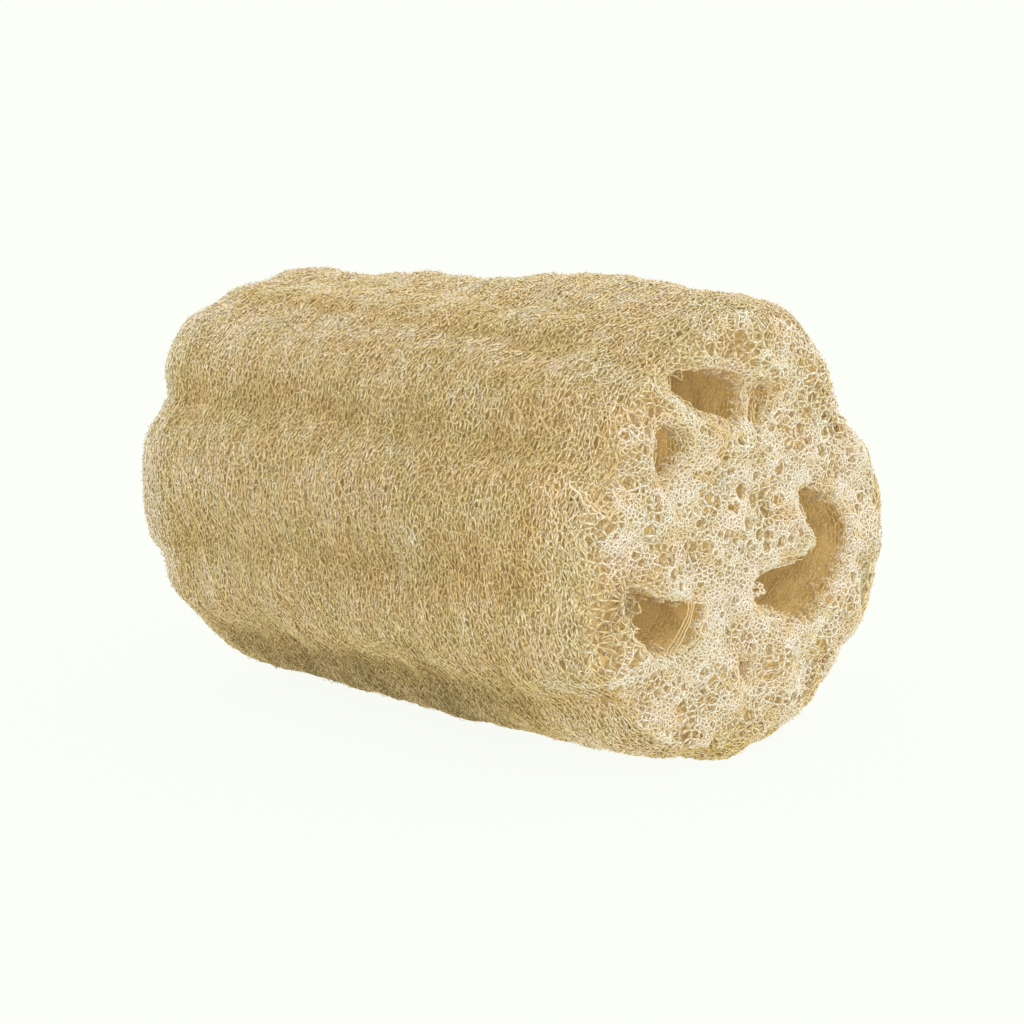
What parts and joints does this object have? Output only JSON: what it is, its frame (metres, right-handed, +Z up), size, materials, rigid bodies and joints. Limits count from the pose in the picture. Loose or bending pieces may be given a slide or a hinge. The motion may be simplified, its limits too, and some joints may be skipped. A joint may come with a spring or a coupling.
{
  "type": "loofah sponge",
  "caption": "Cut length of dried natural loofah lying on its side: a ribbed barrel of netted fibre with seed channels that run through from end to end.",
  "frame": {"origin": "in the small flat spot that the sponge lies on, under the middle of the sponge", "axes": "+X along the length towards the cut end that the picture shows, +Z up, +Y to the right seen from that end"},
  "size_m": [0.109, 0.082, 0.0755],
  "materials": {
    "straw_fibre": "matt, dry plant fibre"
  },
  "bodies": {
    "root": {"loofah": "straw_fibre"}
  },
  "joints": []
}
